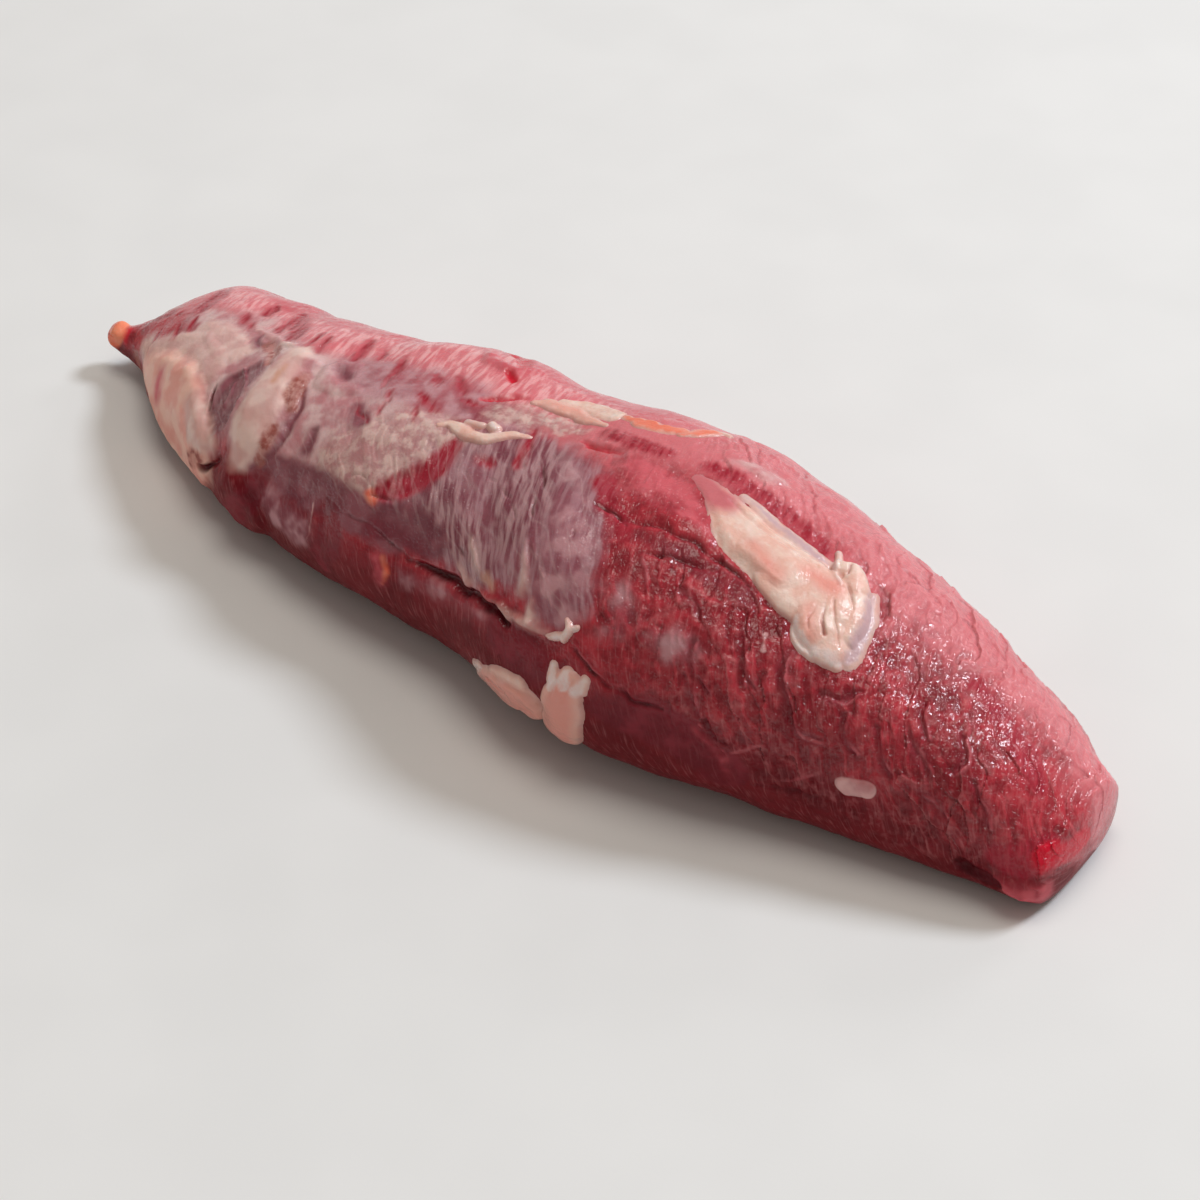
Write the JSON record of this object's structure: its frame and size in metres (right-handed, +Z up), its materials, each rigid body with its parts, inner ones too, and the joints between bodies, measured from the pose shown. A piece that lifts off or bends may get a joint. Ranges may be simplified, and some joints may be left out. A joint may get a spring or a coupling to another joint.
{
  "type": "whole raw beef tenderloin",
  "caption": "Whole raw beef tenderloin (uncut filet mignon): long tapering muscle with silverskin, fat scraps and a side chain, lying on its flat side.",
  "frame": {"origin": "on the resting surface, under the middle of the muscle's box", "axes": "+X along the muscle from its thin tail to its thick head, +Y towards the far side, +Z up"},
  "size_m": [0.42, 0.1243, 0.0767],
  "materials": {
    "meat": "moist raw muscle, satin with wet highlights",
    "fat": "soft raw fat, satin",
    "silverskin": "thin moist membrane"
  },
  "bodies": {
    "root": {"tenderloin": "meat"}
  },
  "joints": []
}
